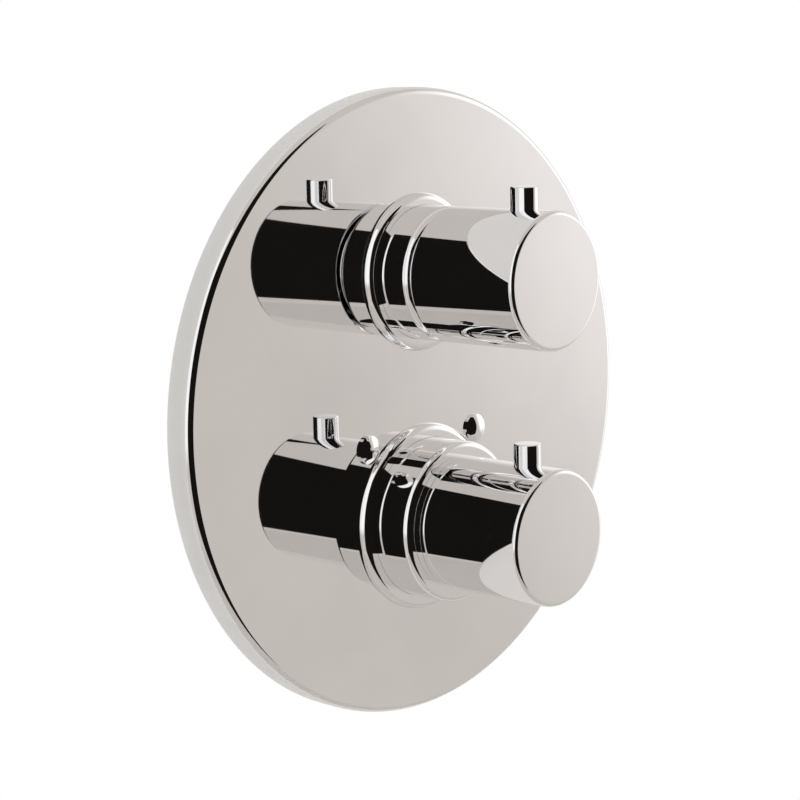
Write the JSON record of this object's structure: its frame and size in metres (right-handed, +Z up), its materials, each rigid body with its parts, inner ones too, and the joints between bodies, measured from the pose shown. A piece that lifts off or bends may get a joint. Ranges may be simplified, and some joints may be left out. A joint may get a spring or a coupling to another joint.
{
  "type": "thermostatic shower valve",
  "caption": "Round wall plate with two cylindrical knobs, each with an upright pin lever, over a concealed thermostatic mixing valve with side inlets and a top outlet.",
  "frame": {"origin": "centre of the cover plate's back, on the finished wall's face", "axes": "+Z up, +X to the right seen from the room, -Y out into the room; the parts behind the wall are at +Y"},
  "size_m": [0.2, 0.1348, 0.2],
  "materials": {
    "chrome_plate": "mirror polished",
    "chrome_knobs": "mirror polished",
    "chrome_levers": "mirror polished",
    "chrome_trim": "mirror polished",
    "foam_seal": "closed-cell foam",
    "stainless_steel": "plain",
    "black_steel": "black oxide",
    "spring_steel": "drawn wire",
    "cast_brass": "cast and shot-blasted",
    "turned_brass": "turned",
    "black_rubber": "matt",
    "white_ceramic": "lapped ceramic",
    "grey_plastic": "moulded",
    "white_plastic": "moulded",
    "steel_shuttle": "ground",
    "copper_element": "drawn copper"
  },
  "bodies": {
    "valve": {"cover_plate": "chrome_plate", "flow_flange": "chrome_trim", "temp_flange": "chrome_trim", "flow_sleeve": "chrome_trim", "temp_shroud": "chrome_trim", "screw_caps": "chrome_trim", "plate_seal": "foam_seal", "plate_screws": "stainless_steel", "hot_strainer": "stainless_steel", "cold_strainer": "stainless_steel", "return_spring": "spring_steel", "hot_check_spring": "spring_steel", "cold_check_spring": "spring_steel", "valve_body": "cast_brass", "headwork_body": "turned_brass", "cartridge_nut": "turned_brass", "flow_flange_seal": "black_rubber", "temp_flange_seal": "black_rubber", "headwork_seal": "black_rubber", "disc_seal": "black_rubber", "cartridge_seals": "black_rubber", "fixed_disc": "white_ceramic", "cartridge_body": "grey_plastic", "cartridge_cage": "grey_plastic", "stop_ring": "white_plastic", "hot_check_body": "white_plastic", "cold_check_body": "white_plastic"},
    "flow_control": {"flow_knob": "chrome_knobs", "flow_lever": "chrome_levers", "flow_grub_screw": "black_steel", "flow_adaptor": "turned_brass", "flow_spindle": "turned_brass", "flow_stem_seals": "black_rubber", "flow_clip": "stainless_steel", "moving_disc": "white_ceramic"},
    "temp_control": {"temp_knob": "chrome_knobs", "temp_lever": "chrome_levers", "temp_grub_screw": "black_steel", "temp_adaptor": "turned_brass", "temp_spindle": "turned_brass", "temp_stem_seals": "black_rubber", "temp_clip": "stainless_steel", "limit_ring": "white_plastic"},
    "thermostat_slide": {"follower": "turned_brass", "overload_spring": "spring_steel", "thrust_plate": "grey_plastic", "thrust_retainer": "stainless_steel", "wax_element": "copper_element", "shuttle": "steel_shuttle", "shuttle_retainer": "stainless_steel", "shuttle_seal": "black_rubber"},
    "hot_check": {"hot_check_poppet": "white_plastic"},
    "cold_check": {"cold_check_poppet": "white_plastic"}
  },
  "joints": [
    {"name": "flow_turn", "type": "hinge", "parent": "valve", "child": "flow_control", "pos_m": [0, 0, 0.042], "axis": [0, -1, 0], "range_deg": [0, 90]},
    {"name": "temp_turn", "type": "hinge", "parent": "valve", "child": "temp_control", "pos_m": [0, 0, -0.0368], "axis": [0, -1, 0], "range_deg": [-150, 60]},
    {"name": "thermostat_travel", "type": "slide", "parent": "valve", "child": "thermostat_slide", "axis": [0, -1, 0], "range_m": [-0.0009, 0.0004], "deforming": ["return_spring"]},
    {"name": "hot_check_lift", "type": "slide", "parent": "valve", "child": "hot_check", "axis": [1, 0, 0], "range_m": [0, 0.0025], "stiffness_N_per_m": 100, "springref_m": -0.004, "deforming": ["hot_check_spring"]},
    {"name": "cold_check_lift", "type": "slide", "parent": "valve", "child": "cold_check", "axis": [-1, 0, 0], "range_m": [0, 0.0025], "stiffness_N_per_m": 100, "springref_m": -0.004, "deforming": ["cold_check_spring"]}
  ],
  "couplings": [
    {"joint": "thermostat_travel", "follows": "temp_turn", "m_per_rad": 0.00031831}
  ]
}
